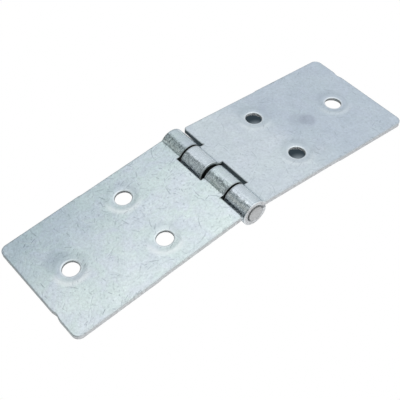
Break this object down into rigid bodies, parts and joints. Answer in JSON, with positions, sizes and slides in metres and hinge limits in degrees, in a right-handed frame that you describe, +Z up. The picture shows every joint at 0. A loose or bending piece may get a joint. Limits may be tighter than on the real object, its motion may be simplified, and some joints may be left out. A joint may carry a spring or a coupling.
{
  "type": "flat hinge",
  "caption": "Flat sheet-steel hinge: two equal rectangular leaves with pressed screw holes, rolled into knuckles round a wire pin.",
  "frame": {"origin": "under the pin axis at the middle of the hinge, on the surface it lies on", "axes": "+Y along the pin, +X towards the right leaf's end, +Z up, away from the surface it lies on"},
  "size_m": [0.1194, 0.0376, 0.0081],
  "materials": {
    "zinc_sheet": "zinc-plated sheet, satin, finely scuffed",
    "zinc_wire": "zinc-plated wire, dull cut ends"
  },
  "bodies": {
    "left_side": {"left_leaf": "zinc_sheet"},
    "right_side": {"right_leaf": "zinc_sheet", "hinge_pin": "zinc_wire"}
  },
  "joints": [
    {"name": "fold", "type": "hinge", "parent": "left_side", "child": "right_side", "pos_m": [0, 0, 0.00405], "axis": [0, -1, 0], "range_deg": [-170, 128]}
  ]
}
